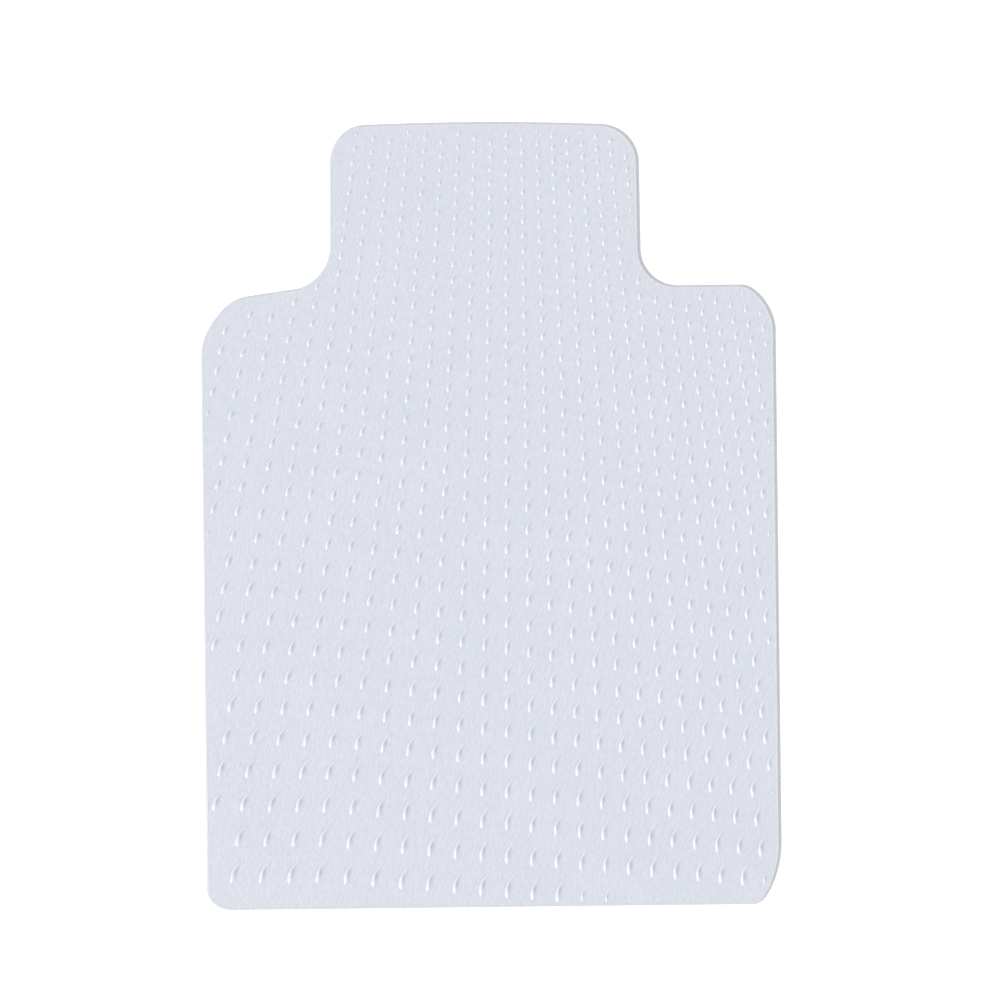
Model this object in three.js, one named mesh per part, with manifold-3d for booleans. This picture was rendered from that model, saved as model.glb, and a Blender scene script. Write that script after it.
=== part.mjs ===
// Studded chair mat for carpet: a T-shaped sheet of frosted PVC whose lip slides under a desk,
// with rows of gripper studs on its underside.
//
// Millimetres, +Z up. The studs' tips stand on z = 0, +Y points to the lip and the front edge
// faces -Y. The origin is at the centre of the mat's length and width.
import * as THREE from 'three';
import { mergeVertices } from 'three/addons/utils/BufferGeometryUtils.js';
import Module from 'manifold-3d';

const wasm = await Module();
wasm.setup();

// Outline of the sheet.
const WIDTH = 900;
const LENGTH = 1232;
const LIP_WIDTH = 482;
const LIP_OFFSET = -3.5;       // the lip's middle, measured from the mat's middle
const LIP_FLARE = 2;           // how much wider each side of the lip is where it joins the mat
const LIP_BOW = 3.8;           // rise of the middle of the lip's end over the line of its corners
const LIP_FALL_LEFT = 2.4;     // how far the lip's left corner stands below the mat's far end
const LIP_FALL_RIGHT = 5.6;
const LIP_DEPTH_RIGHT = 260;   // from the mat's far end to the right shoulder
const LIP_DEPTH_LEFT = 251.5;  // from the mat's far end to the inner end of the left shoulder
const LEFT_SHOULDER_FALL = 28; // how far the left shoulder falls from the lip to the outer edge

// Reach of each rounded corner along the two edges that meet there, taken anticlockwise.
const FRONT_LEFT_REACH = [30, 40];
const FRONT_RIGHT_REACH = [40, 94];
const SHOULDER_RIGHT_REACH = [70, 52];
const INNER_CORNER_REACH = [58, 58];
const LIP_RIGHT_REACH = [60, 60];
const LIP_LEFT_REACH = [52, 62];
const SHOULDER_LEFT_REACH = [68, 80];

// How full a corner's curve is: the length of its handles over its reach.
const ROUND = 0.5523;          // a quarter of an ellipse
const FLATTER = 0.44;          // the front right corner and both shoulders

// Thickness of each layer, from the floor up.
const STUD_HEIGHT = 4.5;
const ROOT_STRIP = 0.5;
const JOINT_GAP = 0.3;
const SHEET = 2.2;
const EDGE_ROUND = 0.6;        // height of the rounding along both edges of the sheet
const EDGE_ROUND_WIDTH = 0.9;
const EDGE_ROUND_STEPS = 2;

// The stud grid. Studs stand at origin + (column * COLUMN_STEP + row * ROW_STEP) / spread, where
// spread = 1 + column * COLUMN_TAPER + row * ROW_TAPER. The tapers open the grid towards the
// front edge and close it towards the lip, and tapers of zero give an even grid. Left of the
// bend column each further column also moves by BEND_STEP, so the rows turn level there.
const GRID_ORIGIN = new THREE.Vector2(25.0, -88.6);
const COLUMN_STEP = new THREE.Vector2(33.55, -6.25);
const ROW_STEP = new THREE.Vector2(-0.41, -37.79);
const COLUMN_TAPER = 0.00596;
const ROW_TAPER = -0.015;
const BEND_COLUMN = -6.6;
const BEND_STEP = new THREE.Vector2(0.76, -3.01);
const COLUMNS = [-16, 18];
const ROWS = [-30, 14];
const EDGE_MARGIN = 7;         // from a stud's centre to the sheet's edge

// Studs and the thin strip that their roots share.
const STUD_TO_STEP = 0.08;     // root radius over the distance to the next row
const STUD_SIDES = 6;
const STUD_SUNK = 0.2;         // how far a stud's root runs up into its strip
const STRIP_TO_STUD = 1.15;    // the strip's half width over the largest root radius in its row

const CURVE_STEPS = 16;        // straight pieces in each rounded corner

const SHEET_COLOUR = 0xdce0e8;
const STUD_COLOUR = 0xccd1dc;
const SATIN = 0.42;            // roughness of the PVC

function corner(x, y, reach, fullness, bow = 0) {
  return { at: new THREE.Vector2(x, y), reach, fullness, bow };
}

// Each corner of the outline with its reaches and fullness, anticlockwise from the front left.
function outlineCorners() {
  const side = WIDTH / 2;
  const end = LENGTH / 2;
  const lipLeft = LIP_OFFSET - LIP_WIDTH / 2;
  const lipRight = LIP_OFFSET + LIP_WIDTH / 2;
  const rightShoulder = end - LIP_DEPTH_RIGHT;
  const leftShoulder = end - LIP_DEPTH_LEFT;
  return [
    corner(-side, -end, FRONT_LEFT_REACH, ROUND),
    corner(side, -end, FRONT_RIGHT_REACH, FLATTER),
    corner(side, rightShoulder, SHOULDER_RIGHT_REACH, FLATTER),
    corner(lipRight + LIP_FLARE, rightShoulder, INNER_CORNER_REACH, ROUND),
    corner(lipRight, end - LIP_FALL_RIGHT, LIP_RIGHT_REACH, ROUND, 2 * LIP_BOW),
    corner(lipLeft, end - LIP_FALL_LEFT, LIP_LEFT_REACH, ROUND),
    corner(lipLeft - LIP_FLARE, leftShoulder, INNER_CORNER_REACH, ROUND),
    corner(-side, leftShoulder - LEFT_SHOULDER_FALL, SHOULDER_LEFT_REACH, FLATTER),
  ];
}

// A closed outline that rounds each corner with one curve. A corner's bow lifts the middle of
// the edge that leaves it: the curve's handle stands twice as high as the edge rises.
function roundedOutline(corners) {
  const outline = new THREE.Shape();
  const count = corners.length;
  const towards = (from, to, distance) => to.clone().sub(from).setLength(distance).add(from);
  corners.forEach(({ at, reach, fullness }, k) => {
    const { at: before, bow } = corners[(k + count - 1) % count];
    const after = corners[(k + 1) % count].at;
    const start = towards(at, before, reach[0]);
    const finish = towards(at, after, reach[1]);
    const handleIn = start.clone().lerp(at, fullness);
    const handleOut = finish.clone().lerp(at, fullness);
    if (k === 0) {
      outline.moveTo(start.x, start.y);
    } else if (bow) {
      const middle = outline.currentPoint.clone().lerp(start, 0.5);
      outline.quadraticCurveTo(middle.x, middle.y + bow, start.x, start.y);
    } else {
      outline.lineTo(start.x, start.y);
    }
    outline.bezierCurveTo(handleIn.x, handleIn.y, handleOut.x, handleOut.y, finish.x, finish.y);
  });
  outline.closePath();
  return outline;
}

function pvc(color) {
  return new THREE.MeshStandardMaterial({ color, roughness: SATIN, metalness: 0 });
}

function makeSheet(outline) {
  const geometry = new THREE.ExtrudeGeometry(outline, {
    depth: SHEET - 2 * EDGE_ROUND,
    bevelThickness: EDGE_ROUND,
    bevelSize: EDGE_ROUND_WIDTH,
    bevelOffset: -EDGE_ROUND_WIDTH,
    bevelSegments: EDGE_ROUND_STEPS,
    curveSegments: CURVE_STEPS,
  });
  const sheet = new THREE.Mesh(geometry, pvc(SHEET_COLOUR));
  sheet.name = 'mat_sheet';
  sheet.position.z = STUD_HEIGHT + ROOT_STRIP + JOINT_GAP + EDGE_ROUND;
  return sheet;
}

function studPlace(column, row) {
  const spread = 1 + column * COLUMN_TAPER + row * ROW_TAPER;
  const beyondBend = Math.max(BEND_COLUMN - column, 0);
  const step = new THREE.Vector2()
    .addScaledVector(COLUMN_STEP, column)
    .addScaledVector(ROW_STEP, row)
    .addScaledVector(BEND_STEP, beyondBend);
  return step.divideScalar(spread).add(GRID_ORIGIN);
}

// Whether a point is inside a closed loop of points and at least a margin away from its edge.
function wellInside(point, loop, margin) {
  let inside = false;
  for (let k = 0; k < loop.length; k += 1) {
    const a = loop[k];
    const b = loop[(k + 1) % loop.length];
    const edge = b.clone().sub(a);
    const toPoint = point.clone().sub(a);
    const share = THREE.MathUtils.clamp(toPoint.dot(edge) / edge.lengthSq(), 0, 1);
    if (toPoint.distanceTo(edge.clone().multiplyScalar(share)) < margin) return false;
    const crosses = (a.y > point.y) !== (b.y > point.y);
    if (crosses && point.x < a.x + (edge.x * (point.y - a.y)) / edge.y) inside = !inside;
  }
  return inside;
}

// The studs of one row that stand under the sheet, as unbroken runs.
function studRuns(row, loop) {
  const runs = [];
  let run = [];
  for (let column = COLUMNS[0]; column <= COLUMNS[1]; column += 1) {
    const at = studPlace(column, row);
    if (wellInside(at, loop, EDGE_MARGIN)) {
      const radius = STUD_TO_STEP * at.distanceTo(studPlace(column, row + 1));
      run.push({ at, radius, column });
    } else if (run.length > 0) {
      runs.push(run);
      run = [];
    }
  }
  if (run.length > 0) runs.push(run);
  return runs;
}

function toManifold(geometry) {
  const bare = geometry.index ? geometry.toNonIndexed() : geometry.clone();
  bare.deleteAttribute('normal');
  bare.deleteAttribute('uv');
  const merged = mergeVertices(bare);
  return new wasm.Manifold(new wasm.Mesh({
    numProp: 3,
    vertProperties: new Float32Array(merged.attributes.position.array),
    triVerts: new Uint32Array(merged.index.array),
  }));
}

function toGeometry(solid) {
  const mesh = solid.getMesh();
  const geometry = new THREE.BufferGeometry();
  geometry.setAttribute('position', new THREE.BufferAttribute(mesh.vertProperties, 3));
  geometry.setIndex(new THREE.BufferAttribute(mesh.triVerts, 1));
  geometry.computeVertexNormals();
  return geometry;
}

// The line that a row's strip follows: a little beyond the run's first and last studs, with a
// point where the row bends.
function stripLine(run, row, overhang) {
  const first = run[0];
  const last = run[run.length - 1];
  const beyond = (stud, column) => {
    const outward = studPlace(column, row).sub(stud.at).setLength(overhang);
    return outward.add(stud.at);
  };
  const line = [beyond(first, first.column - 1), beyond(last, last.column + 1)];
  if (first.column < BEND_COLUMN && last.column > BEND_COLUMN) {
    line.splice(1, 0, studPlace(BEND_COLUMN, row));
  }
  return line;
}

// The outline of a strip with a half width to each side of its line.
function stripOutline(line, halfWidth) {
  const shifted = (side) => line.map((at, k) => {
    const before = line[Math.max(k - 1, 0)];
    const after = line[Math.min(k + 1, line.length - 1)];
    const along = after.clone().sub(before).setLength(halfWidth);
    return new THREE.Vector2(at.x - side * along.y, at.y + side * along.x);
  });
  return new THREE.Shape([...shifted(-1), ...shifted(1).reverse()]);
}

// One run of pointed studs hanging from its strip.
function makeStudRow(run, row, name) {
  const halfWidth = STRIP_TO_STUD * Math.max(...run.map((stud) => stud.radius));
  const strip = new THREE.ExtrudeGeometry(stripOutline(stripLine(run, row, halfWidth), halfWidth), {
    depth: ROOT_STRIP,
    bevelEnabled: false,
  });
  strip.translate(0, 0, STUD_HEIGHT);

  const solids = [toManifold(strip)];
  const height = STUD_HEIGHT + STUD_SUNK;
  for (const { at, radius } of run) {
    const cone = new THREE.ConeGeometry(radius, height, STUD_SIDES);
    cone.rotateX(-Math.PI / 2);
    cone.translate(at.x, at.y, height / 2);
    solids.push(toManifold(cone));
  }
  const studRow = new THREE.Mesh(toGeometry(wasm.Manifold.union(solids)), pvc(STUD_COLOUR));
  studRow.name = name;
  return studRow;
}

const mat = new THREE.Group();
const outline = roundedOutline(outlineCorners());
mat.add(makeSheet(outline));

const loop = outline.getPoints(CURVE_STEPS);
let number = 0;
for (let row = ROWS[0]; row <= ROWS[1]; row += 1) {
  for (const run of studRuns(row, loop)) {
    number += 1;
    mat.add(makeStudRow(run, row, `stud_row_${String(number).padStart(2, '0')}`));
  }
}

export default mat;
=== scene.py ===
import math

import bmesh
import bpy
import numpy as np
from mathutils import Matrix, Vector
from mathutils.geometry import delaunay_2d_cdt


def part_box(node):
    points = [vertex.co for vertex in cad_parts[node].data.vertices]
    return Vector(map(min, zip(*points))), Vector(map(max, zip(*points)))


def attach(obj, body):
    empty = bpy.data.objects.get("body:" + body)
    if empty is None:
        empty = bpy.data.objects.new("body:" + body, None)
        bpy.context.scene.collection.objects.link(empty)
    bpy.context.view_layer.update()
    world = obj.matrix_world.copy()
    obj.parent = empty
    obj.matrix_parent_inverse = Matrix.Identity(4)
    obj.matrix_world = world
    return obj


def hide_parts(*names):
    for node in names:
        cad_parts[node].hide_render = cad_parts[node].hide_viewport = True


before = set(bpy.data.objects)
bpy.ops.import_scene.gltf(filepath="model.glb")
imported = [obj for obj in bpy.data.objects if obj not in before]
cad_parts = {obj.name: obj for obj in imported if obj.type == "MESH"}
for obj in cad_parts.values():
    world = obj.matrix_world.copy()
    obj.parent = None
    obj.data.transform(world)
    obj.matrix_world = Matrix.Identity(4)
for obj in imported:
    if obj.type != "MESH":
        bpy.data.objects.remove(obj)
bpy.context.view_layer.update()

# The looks of a studded chair mat: one frosted PVC sheet with a softened edge, a crescent mark in
# its top over every stud, and rows of round gripper studs under it. Metres, in the CAD's frame.

MM = 0.001

# ---------------------------------------------------------------- sizes of the sheet's edge

# The edge's section, as (distance in from the outline, height over the sheet's underside). It
# runs from the underside round the edge to the flat top, over a low rim just inside the edge.
EDGE_PROFILE = [
    (1.0 * MM, 0.0 * MM),
    (0.25 * MM, 0.12 * MM),
    (0.0 * MM, 0.4 * MM),
    (0.0 * MM, 0.8 * MM),
    (0.4 * MM, 1.25 * MM),
    (1.0 * MM, 1.75 * MM),
    (1.6 * MM, 2.15 * MM),
    (2.2 * MM, 2.42 * MM),
    (2.8 * MM, 2.45 * MM),
    (3.9 * MM, 2.2 * MM),
    (4.4 * MM, 2.2 * MM),
]

# ---------------------------------------------------------------- sizes of the crescent marks

# A mark's crest starts straight along the studs' column at the front end and curls to the right
# towards the lip end. To the right of the crest's middle lies a small pit, and to its left a
# shallow moat. Places along the column are shares of the distance to the next row.
MARK_STATIONS = [-0.25, -0.15, -0.04, 0.05, 0.14, 0.23, 0.32]
MARK_ENDS = (-0.32, 0.42)
MARK_CURL = 1.1         # how strongly the crest curls
MARK_CURL_FROM = -0.05  # where along the column it starts to
MARK_OFFSET = 0.03      # from the stud's centre to the crest's straight part

# At each station, the crest's height and the depth of the pit and of the moat, as shares of the
# full height. The full height is the flank's width times the slope.
MARK_CREST = [0.75, 1.0, 1.0, 1.0, 0.9, 0.75, 0.55]
MARK_PIT = [0.0, 0.0, 0.7, 1.6, 1.2, 0.1, 0.0]
MARK_MOAT = [0.0, 0.05, 0.2, 0.35, 0.45, 0.45, 0.35]
MARK_SLOPE = 0.35

# The flank's width is a share of the distance to the next row plus a constant part. Each station
# has its own width on the left and on the right of the crest, in flank widths, and the columns
# across the mark are counted in those widths.
MARK_FLANK = 0.024
MARK_FLANK_LEAST = 1.8 * MM
MARK_LEFT = [0.95, 1.0, 1.0, 0.95, 0.85, 0.75, 0.6]
MARK_RIGHT = [2.0, 1.9, 1.7, 1.65, 1.6, 2.0, 2.0]
MARK_ACROSS = [-2.0, -1.5, -1.0, -0.5, 0.0, 0.5, 1.0, 1.5]

# A mark that would reach the sheet's edge takes the first of these sizes that fits.
MARK_SHRINK = [1.0, 0.85, 0.7, 0.55, 0.4, 0.3]
MARK_CLEARANCE = 0.4 * MM

# Painted light and shade on a mark, station by station and column by column: painted shade on the right
# flank and in the pit, where the relief falls into shade, and in the moat, and a painted highlight on
# the left flank and the crest.
PIT_SHADE_STATIONS = [0.0, 0.05, 0.7, 1.0, 0.4, 0.0, 0.0]
PIT_SHADE_ACROSS = [0.0, 0.0, 0.0, 0.0, 0.0, 0.8, 0.5, 0.0]
# Painted shade in the moat, left of the crest.
MOAT_SHADE_STATIONS = [0.0, 0.0, 0.3, 0.8, 1.0, 1.0, 0.6]
MOAT_SHADE_ACROSS = [0.0, 0.35, 0.15, 0.0, 0.0, 0.0, 0.0, 0.0]
# Painted highlight on the crest's left flank, where the light falls.
CREST_HIGHLIGHT_STATIONS = [0.8, 1.0, 1.0, 0.8, 0.6, 0.6, 0.6]
CREST_HIGHLIGHT_ACROSS = [0.0, 0.0, 0.2, 0.5, 0.4, 0.1, 0.0, 0.0]
# Painted shade takes this share of the PVC's colour away at a value of 1, and painted highlight, below
# zero, adds it.
PAINTED_LIGHT_STRENGTH = 0.20    # share of the PVC's colour that a tint of 1 takes away
# The point attribute that carries the marks' painted shade and highlight.
PAINTED_LIGHT_LAYER = "painted_shade_and_highlight"
# A stud this near to the next row gets none of the painted shade in its pit, and one this far off gets
# all of it.
PIT_SHADE_PITCH = (18.0 * MM, 46.0 * MM)

# ---------------------------------------------------------------- sizes of the studs

# A round stud, as (height over its tip as a share of its length, radius over its root's radius).
STUD_PROFILE = [(0.04, 0.20), (0.12, 0.30), (0.55, 0.62), (0.88, 0.95), (1.02, 1.25)]
STUD_SIDES = 10
ROOT_STRIP = 0.5 * MM      # height of the strip that joins the studs of a row in the CAD

# A stud's neighbour in its column stands within this angle of the lip's direction and within
# this many of its root's radii.
COLUMN_SEARCH = math.radians(30)
COLUMN_REACH = 18.0

# ---------------------------------------------------------------- reading and meshing

HEIGHT_MATCH = 0.1 * MM    # CAD points this near to a height stand at it
PLACE_MATCH = 0.01 * MM    # places in the CAD are told apart to this
WALL_SHARE = 0.3           # the sheet's wall is this near to mid height, as a share of thickness
POINT_MERGE = 1e-7         # points this near are one when the top is filled

# ---------------------------------------------------------------- materials

PVC_PALE = (0.640, 0.661, 0.718, 1.0)
PVC_DEEP = (0.576, 0.600, 0.664, 1.0)
PVC_RAMP = (0.3, 0.7)      # where in the noise the deep and the pale colour stand
PVC_ROUGHNESS_LEAST = 0.29
PVC_ROUGHNESS_MOST = 0.41
NOISE_DETAIL = 2.0
CLOUD_SCALE = 9.0
CLOUD_DETAIL = 3.0
CLOUD_SHARE = 0.2          # share of the clouds in the colour
STREAK_SHARE = 0.8         # and of the streaks
STREAK_LEAN = math.radians(-28)
STREAK_SIZE = (3.0 * MM, 10.0 * MM, 10.0 * MM)
GRAIN_SCALE = 700.0
GRAIN_SHARE = 0.25         # height of the grain over the height of the streaks
RELIEF_HEIGHT = 0.5 * MM

FLOOR_REACH = 12.0         # from the middle of the floor to its edges
FLOOR_GREYS = (0.925, 0.935)
FLOOR_TONE_SCALE = 2.0
FLOOR_ROUGHNESS = 0.9
FLOOR_GLOW = 0.15          # keeps the mat's thin shadow on the floor faint
WHITE = (1.0, 1.0, 1.0, 1.0)

# ---------------------------------------------------------------- camera and light

CAMERA_ROLL = math.radians(-0.65)
CAMERA_LENS = 200.0
CAMERA_SENSOR = 36.0
VIEW_WIDTH = 1.5712        # across the picture, at the mat
VIEW_CENTRE = (0.0176, 0.0222)

SUN_ELEVATION = math.radians(60)
SUN_AZIMUTH = math.radians(202)
SUN_STRENGTH = 2.36
SUN_SOFTNESS = math.radians(12)
WORLD_STRENGTH = 0.52


# ---------------------------------------------------------------- reading the frame

def vertices(node):
    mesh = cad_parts[node].data
    return np.array([v.co for v in mesh.vertices], float)


def unique_places(points):
    """The distinct (x, y) of an array of points."""
    return np.unique(np.round(points[:, :2] / PLACE_MATCH), axis=0) * PLACE_MATCH


def sheet_outline():
    """The sheet's outline, anticlockwise, from the vertical wall of its CAD solid."""
    points = vertices("mat_sheet")
    low, high = points[:, 2].min(), points[:, 2].max()
    wall = abs(points[:, 2] - (low + high) / 2) < WALL_SHARE * (high - low)
    loop = unique_places(points[wall])
    centre = (loop.min(0) + loop.max(0)) / 2
    turn = np.arctan2(loop[:, 1] - centre[1], loop[:, 0] - centre[0])
    return loop[np.argsort(turn)]


def row_studs(node):
    """Each stud of a CAD row: its place and its root's radius."""
    points = vertices(node)
    root_height = points[:, 2].max() - ROOT_STRIP
    tips = unique_places(points[points[:, 2] < HEIGHT_MATCH])
    roots = points[abs(points[:, 2] - root_height) < HEIGHT_MATCH][:, :2]
    return [{"at": tip, "radius": np.linalg.norm(roots - tip, axis=1).min()} for tip in tips]


def find_columns(studs):
    """Give every stud the step to the next stud of its column, towards the lip.

    A stud that is alone in its column takes the step of the stud beside it.
    """
    places = np.array([stud["at"] for stud in studs])
    alone = []
    for stud in studs:
        away = places - stud["at"]
        distance = np.linalg.norm(away, axis=1)
        for sign in (1, -1):
            ahead = sign * away[:, 1] > math.cos(COLUMN_SEARCH) * distance
            near = np.where(ahead & (distance > 0), distance, np.inf)
            if near.min() < COLUMN_REACH * stud["radius"]:
                stud["column"] = sign * away[near.argmin()]
                break
        else:
            alone.append(stud)
    settled = [stud for stud in studs if "column" in stud]
    for stud in alone:
        beside = min(settled, key=lambda other: np.linalg.norm(other["at"] - stud["at"]))
        stud["column"] = beside["column"]


# ---------------------------------------------------------------- outlines

def inset_loop(loop, distance):
    """An anticlockwise loop moved inwards."""
    before = loop - np.roll(loop, 1, axis=0)
    after = np.roll(loop, -1, axis=0) - loop
    before /= np.linalg.norm(before, axis=1)[:, None]
    after /= np.linalg.norm(after, axis=1)[:, None]
    tangent = before + after
    tangent /= np.linalg.norm(tangent, axis=1)[:, None]
    inward = np.stack([-tangent[:, 1], tangent[:, 0]], axis=1)
    return loop + inward * distance


def all_inside(points, loop):
    """Whether every point lies inside a closed loop."""
    a = loop[None, :, :]
    b = np.roll(loop, -1, axis=0)[None, :, :]
    x, y = points[:, 0, None], points[:, 1, None]
    crosses = (a[..., 1] > y) != (b[..., 1] > y)
    rise = np.where(crosses, b[..., 1] - a[..., 1], 1.0)
    meets = a[..., 0] + (b[..., 0] - a[..., 0]) * (y - a[..., 1]) / rise
    return bool(((crosses & (x < meets)).sum(axis=1) % 2 == 1).all())


# ---------------------------------------------------------------- the crescent marks

def crescent(stud, shrink):
    """A mark's two ends, and its points station by station and column by column.

    Heights are over the sheet's flat top.
    """
    pitch = np.linalg.norm(stud["column"])
    up = stud["column"] / pitch
    side = np.array([up[1], -up[0]])
    flank = (MARK_FLANK * pitch + MARK_FLANK_LEAST) * shrink
    length = pitch * shrink

    def place(u, v, height):
        at = stud["at"] + side * u + up * v
        return (at[0], at[1], height)

    def crest(v):
        return length * (MARK_OFFSET + MARK_CURL * max(v - MARK_CURL_FROM, 0) ** 2)

    grid = []
    stations = zip(MARK_STATIONS, MARK_CREST, MARK_PIT, MARK_MOAT, MARK_LEFT, MARK_RIGHT)
    for v, top, pit, moat, left, right in stations:
        heights = [0.0, -moat / 2, -moat, (top - moat) / 2, top, (top - pit) / 2, -pit, 0.0]
        line = []
        for across, height in zip(MARK_ACROSS, heights):
            width = flank * (left if across < 0 else right)
            rise = height * MARK_SLOPE * flank
            line.append(place(crest(v) + across * width, v * length, rise))
        grid.append(line)
    ends = [place(crest(v), v * length, 0.0) for v in MARK_ENDS]
    return ends, grid


def crescent_ring(ends, grid):
    """The mark's outermost points, anticlockwise."""
    right = [line[-1] for line in grid]
    left = [line[0] for line in grid]
    return [ends[0]] + right + [ends[1]] + left[::-1]


def crescent_painted_light(stud):
    """The painted shade, above zero, and painted highlight, below zero, on each point of a mark,
    station by column.
    """
    none, full = PIT_SHADE_PITCH
    share = (np.linalg.norm(stud["column"]) - none) / (full - none)
    # Painted shade in the pit, fuller where the rows stand far apart, painted shade in the moat, and
    # painted highlight on the crest.
    pit_shade = np.outer(PIT_SHADE_STATIONS, PIT_SHADE_ACROSS) * min(max(share, 0.0), 1.0)
    moat = np.outer(MOAT_SHADE_STATIONS, MOAT_SHADE_ACROSS)
    return pit_shade + moat - np.outer(CREST_HIGHLIGHT_STATIONS, CREST_HIGHLIGHT_ACROSS)


def fitted_crescent(stud, limit):
    """The largest of the mark's sizes that stays inside the limit loop."""
    for shrink in MARK_SHRINK:
        ends, grid = crescent(stud, shrink)
        ring = np.array(crescent_ring(ends, grid))[:, :2]
        if all_inside(ring, limit):
            return ends, grid
    return None


def add_crescent(verts, faces, ends, grid, top):
    """Add a mark's mesh, and return the indices of its ends and of its grid."""
    index = []
    for line in grid:
        index.append(list(range(len(verts), len(verts) + len(line))))
        verts += [(x, y, top + height) for x, y, height in line]
    first, last = len(verts), len(verts) + 1
    verts += [(x, y, top + height) for x, y, height in ends]
    for line, beyond in zip(index[:-1], index[1:]):
        for j in range(len(line) - 1):
            faces.append((line[j], line[j + 1], beyond[j + 1], beyond[j]))
    for j in range(len(MARK_ACROSS) - 1):
        faces.append((index[0][j], first, index[0][j + 1]))
        faces.append((index[-1][j], index[-1][j + 1], last))
    return [first, last], index


# ---------------------------------------------------------------- pieces

def new_piece(name, verts, faces, material):
    mesh = bpy.data.meshes.new(name)
    mesh.from_pydata([tuple(v) for v in verts], [], faces)
    mesh.update()
    work = bmesh.new()
    work.from_mesh(mesh)
    bmesh.ops.recalc_face_normals(work, faces=work.faces)
    work.to_mesh(mesh)
    work.free()
    mesh.polygons.foreach_set("use_smooth", [True] * len(mesh.polygons))
    mesh.materials.append(material)
    piece = bpy.data.objects.new(name, mesh)
    bpy.context.scene.collection.objects.link(piece)
    return piece


def add_edge(verts, faces, outline, low):
    """Add the sheet's underside and rounded edge, and return the edge's innermost top loop."""
    loops = []
    for inward, height in EDGE_PROFILE:
        start = len(verts)
        verts += [(x, y, low + height) for x, y in inset_loop(outline, inward)]
        loops.append(range(start, len(verts)))
    count = len(outline)
    for inner, outer in zip(loops[:-1], loops[1:]):
        for k in range(count):
            n = (k + 1) % count
            faces.append((inner[k], inner[n], outer[n], outer[k]))
    faces.append(tuple(reversed(loops[0])))
    return list(loops[-1])


def add_flat_top(verts, faces, rings):
    """Fill the flat top: the first ring is its border, and the others are the marks in it."""
    index = [k for ring in rings for k in ring]
    places = [Vector(verts[k][:2]) for k in index]
    bounds = []
    for ring in rings:
        start = bounds[-1][-1] + 1 if bounds else 0
        bounds.append(list(range(start, start + len(ring))))
    result = delaunay_2d_cdt(places, [], bounds, 1, POINT_MERGE, True)
    _, _, triangles, origin, _, owners = result
    for triangle, owner in zip(triangles, owners):
        if owner == [0]:
            faces.append(tuple(index[origin[k][0]] for k in triangle))
    return index


def make_sheet(outline, studs, material):
    """The whole sheet as one closed mesh: underside, edge, and a top with a crescent over each stud."""
    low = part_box("mat_sheet")[0].z
    edge_width, thickness = EDGE_PROFILE[-1]
    limit = inset_loop(outline, edge_width + MARK_CLEARANCE)
    verts, faces, painted_light_values = [], [], {}
    rings = [add_edge(verts, faces, outline, low)]
    for stud in studs:
        fitted = fitted_crescent(stud, limit)
        if fitted is None:
            continue
        ends, index = add_crescent(verts, faces, *fitted, low + thickness)
        # Each mark's painted shade and highlight, kept per point.
        for line, strengths in zip(index, crescent_painted_light(stud)):
            painted_light_values.update(zip(line, strengths))
        rings.append(crescent_ring(ends, index))
    flat = add_flat_top(verts, faces, rings)

    sheet = new_piece("frosted_sheet", verts, faces, material)
    from_faces = (0.0, 0.0, 0.0)
    normals = [from_faces] * len(verts)
    for k in flat:
        normals[k] = (0.0, 0.0, 1.0)
    sheet.data.normals_split_custom_set_from_vertices(normals)
    # The painted shade and highlight go on the sheet as a point attribute that its material reads.
    layer = sheet.data.attributes.new(PAINTED_LIGHT_LAYER, "FLOAT", "POINT")
    layer.data.foreach_set("value", [painted_light_values.get(k, 0.0) for k in range(len(verts))])
    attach(sheet, "root")
    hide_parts("mat_sheet")


def make_stud_row(node, studs, material):
    """One row of round studs, each a closed body whose root runs a little way into the sheet."""
    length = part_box("mat_sheet")[0].z
    verts, faces = [], []
    for stud in studs:
        x, y = stud["at"]
        tip = len(verts)
        verts.append((x, y, 0.0))
        rings = []
        for share, width in STUD_PROFILE:
            start = len(verts)
            for k in range(STUD_SIDES):
                turn = 2 * math.pi * k / STUD_SIDES
                radius = stud["radius"] * width
                verts.append((x + radius * math.cos(turn), y + radius * math.sin(turn), length * share))
            rings.append(range(start, len(verts)))
        for k in range(STUD_SIDES):
            n = (k + 1) % STUD_SIDES
            faces.append((tip, rings[0][n], rings[0][k]))
            for lower, upper in zip(rings[:-1], rings[1:]):
                faces.append((lower[k], lower[n], upper[n], upper[k]))
        faces.append(tuple(rings[-1]))
    row = new_piece(node.replace("stud_row", "gripper_row"), verts, faces, material)
    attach(row, "root")
    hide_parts(node)


# ---------------------------------------------------------------- materials

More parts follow.
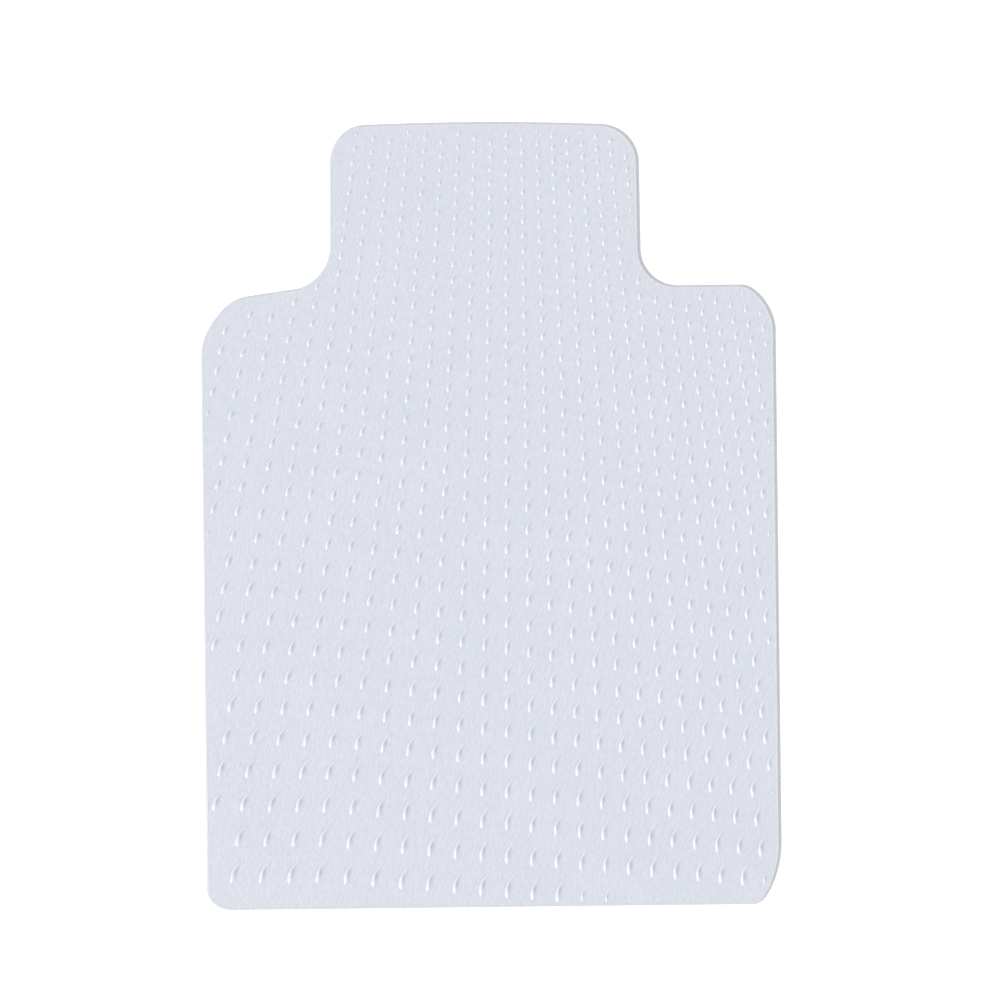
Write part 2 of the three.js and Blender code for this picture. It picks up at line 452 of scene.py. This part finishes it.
class Shading:
    """A material's nodes and links, with its texture coordinates and its Principled shader."""

    def __init__(self, name):
        self.material = bpy.data.materials.new(name)
        self.material.use_nodes = True
        self.nodes = self.material.node_tree.nodes
        self.nodes.clear()
        output = self.nodes.new("ShaderNodeOutputMaterial")
        self.shader = self.nodes.new("ShaderNodeBsdfPrincipled")
        self.link(self.shader.outputs["BSDF"], output.inputs["Surface"])
        self.place = self.nodes.new("ShaderNodeTexCoord").outputs["Object"]

    def link(self, source, target):
        self.material.node_tree.links.new(source, target)

    def noise(self, place, scale, detail=NOISE_DETAIL):
        node = self.nodes.new("ShaderNodeTexNoise")
        node.inputs["Scale"].default_value = scale
        node.inputs["Detail"].default_value = detail
        self.link(place, node.inputs["Vector"])
        return node.outputs["Fac"]

    def times(self, value, factor):
        node = self.nodes.new("ShaderNodeMath")
        node.operation = "MULTIPLY"
        self.link(value, node.inputs[0])
        node.inputs[1].default_value = factor
        return node.outputs[0]

    def times_plus(self, value, factor, addend):
        """The value times a factor, plus a number or another node's output."""
        node = self.nodes.new("ShaderNodeMath")
        node.operation = "MULTIPLY_ADD"
        self.link(value, node.inputs[0])
        node.inputs[1].default_value = factor
        if isinstance(addend, float):
            node.inputs[2].default_value = addend
        else:
            self.link(addend, node.inputs[2])
        return node.outputs[0]

    def ramp(self, value, stops):
        node = self.nodes.new("ShaderNodeValToRGB")
        for element, (position, colour) in zip(node.color_ramp.elements, stops):
            element.position = position
            element.color = colour
        self.link(value, node.inputs["Fac"])
        return node.outputs["Color"]


def drawn_streaks(shading):
    """Noise that is drawn out along one lean, as the rolled sheet's faint streaks are."""
    drawn = shading.nodes.new("ShaderNodeMapping")
    drawn.vector_type = "TEXTURE"
    drawn.inputs["Rotation"].default_value = (0, 0, STREAK_LEAN)
    drawn.inputs["Scale"].default_value = STREAK_SIZE
    shading.link(shading.place, drawn.inputs["Vector"])
    return shading.noise(drawn.outputs["Vector"], scale=1.0)


def frosted_pvc(name):
    """Frosted PVC: a cloudy blue-grey with fine grain, faint drawn streaks and an uneven satin,
    darkened by painted shade and lightened by painted highlight over the marks.
    """
    shading = Shading(name)
    nodes, shader = shading.nodes, shading.shader
    streak = drawn_streaks(shading)
    cloud = shading.noise(shading.place, CLOUD_SCALE, CLOUD_DETAIL)
    mottle = shading.times_plus(streak, STREAK_SHARE, shading.times(cloud, CLOUD_SHARE))
    colour = shading.ramp(mottle, zip(PVC_RAMP, (PVC_DEEP, PVC_PALE)))

    # Painted shade and highlight over the marks darken or lighten the colour.
    painted_light_node = nodes.new("ShaderNodeAttribute")
    painted_light_node.attribute_name = PAINTED_LIGHT_LAYER
    kept = shading.times_plus(painted_light_node.outputs["Fac"], -PAINTED_LIGHT_STRENGTH, 1.0)
    painted_colour = nodes.new("ShaderNodeVectorMath")
    painted_colour.operation = "SCALE"
    shading.link(colour, painted_colour.inputs[0])
    shading.link(kept, painted_colour.inputs["Scale"])
    shading.link(painted_colour.outputs["Vector"], shader.inputs["Base Color"])

    satin = nodes.new("ShaderNodeMapRange")
    satin.inputs["To Min"].default_value = PVC_ROUGHNESS_LEAST
    satin.inputs["To Max"].default_value = PVC_ROUGHNESS_MOST
    shading.link(mottle, satin.inputs["Value"])
    shading.link(satin.outputs["Result"], shader.inputs["Roughness"])

    grain = shading.noise(shading.place, GRAIN_SCALE)
    bump = nodes.new("ShaderNodeBump")
    bump.inputs["Strength"].default_value = 1.0
    bump.inputs["Distance"].default_value = RELIEF_HEIGHT
    shading.link(shading.times_plus(grain, GRAIN_SHARE, streak), bump.inputs["Height"])
    shading.link(bump.outputs["Normal"], shader.inputs["Normal"])
    return shading.material


def floor_material():
    """Plain pale floor with a barely uneven tone."""
    shading = Shading("pale_floor")
    tone = shading.noise(shading.place, FLOOR_TONE_SCALE)
    dark, light = [(grey, grey, grey, 1.0) for grey in FLOOR_GREYS]
    colour = shading.ramp(tone, [(0.0, dark), (1.0, light)])
    shader = shading.shader
    shading.link(colour, shader.inputs["Base Color"])
    shader.inputs["Roughness"].default_value = FLOOR_ROUGHNESS
    shader.inputs["Specular IOR Level"].default_value = 0.0
    shader.inputs["Emission Color"].default_value = WHITE
    shader.inputs["Emission Strength"].default_value = FLOOR_GLOW
    return shading.material


# ---------------------------------------------------------------- stage

def make_floor():
    mesh = bpy.data.meshes.new("floor")
    reach = FLOOR_REACH
    corners = [(-reach, -reach, 0), (reach, -reach, 0), (reach, reach, 0), (-reach, reach, 0)]
    mesh.from_pydata(corners, [], [(0, 1, 2, 3)])
    mesh.materials.append(floor_material())
    floor = bpy.data.objects.new("floor", mesh)
    bpy.context.scene.collection.objects.link(floor)


def make_light():
    light = bpy.data.lights.new("key", "SUN")
    light.energy = SUN_STRENGTH
    light.angle = SUN_SOFTNESS
    key = bpy.data.objects.new("key", light)
    towards = Vector((
        math.cos(SUN_ELEVATION) * math.cos(SUN_AZIMUTH),
        math.cos(SUN_ELEVATION) * math.sin(SUN_AZIMUTH),
        math.sin(SUN_ELEVATION),
    ))
    key.rotation_euler = towards.to_track_quat("Z", "Y").to_euler()
    bpy.context.scene.collection.objects.link(key)

    world = bpy.data.worlds.new("studio")
    world.use_nodes = True
    sky = world.node_tree.nodes["Background"]
    sky.inputs["Color"].default_value = WHITE
    sky.inputs["Strength"].default_value = WORLD_STRENGTH
    bpy.context.scene.world = world
    bpy.context.scene.view_settings.view_transform = "Standard"


def make_camera():
    """A camera that looks straight down on the mat, from as far as its lens needs."""
    lens = bpy.data.cameras.new("camera")
    lens.lens = CAMERA_LENS
    lens.sensor_width = CAMERA_SENSOR
    camera = bpy.data.objects.new("camera", lens)
    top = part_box("mat_sheet")[1].z
    distance = VIEW_WIDTH * CAMERA_LENS / CAMERA_SENSOR
    camera.location = (VIEW_CENTRE[0], VIEW_CENTRE[1], top + distance)
    camera.rotation_euler = (0.0, 0.0, CAMERA_ROLL)
    bpy.context.scene.collection.objects.link(camera)
    bpy.context.scene.camera = camera


# ---------------------------------------------------------------- the model

make_camera()
make_floor()
make_light()

rows = {node: row_studs(node) for node in sorted(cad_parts) if node.startswith("stud_row")}
sheet_pvc = frosted_pvc("frosted_pvc")
stud_pvc = frosted_pvc("frosted_pvc_studs")

every_stud = [stud for studs in rows.values() for stud in studs]
find_columns(every_stud)
make_sheet(sheet_outline(), every_stud, sheet_pvc)
for node, studs in rows.items():
    make_stud_row(node, studs, stud_pvc)
